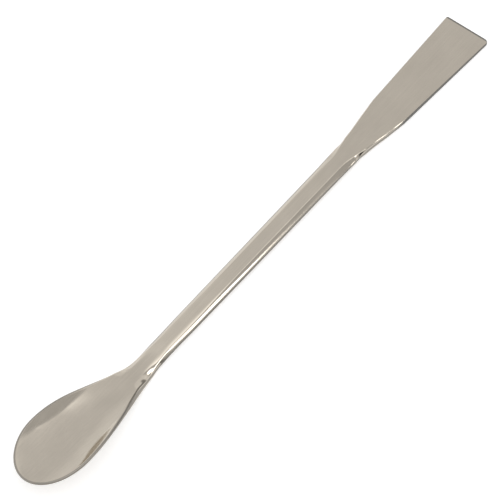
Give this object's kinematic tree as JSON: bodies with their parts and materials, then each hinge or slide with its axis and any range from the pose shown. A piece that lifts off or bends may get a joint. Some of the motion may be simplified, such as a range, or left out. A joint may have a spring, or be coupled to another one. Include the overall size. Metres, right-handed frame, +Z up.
{
  "type": "lab spatula",
  "caption": "Stainless laboratory spatula in one piece: a tapered flat blade at one end, a slim flat-topped handle with sloped sides, and an egg-shaped shallow spoon bowl at the other.",
  "frame": {"origin": "on the surface the tool lies on, under the middle of its length and width", "axes": "+X along the tool towards the flat blade's working end, -X towards the spoon bowl, +Z up out of the open bowl"},
  "size_m": [0.18, 0.0186, 0.0079],
  "materials": {
    "steel": "buffed stainless steel, smooth and softly mirroring, with a very faint grain along the tool"
  },
  "bodies": {
    "root": {"spatula": "steel"}
  },
  "joints": []
}
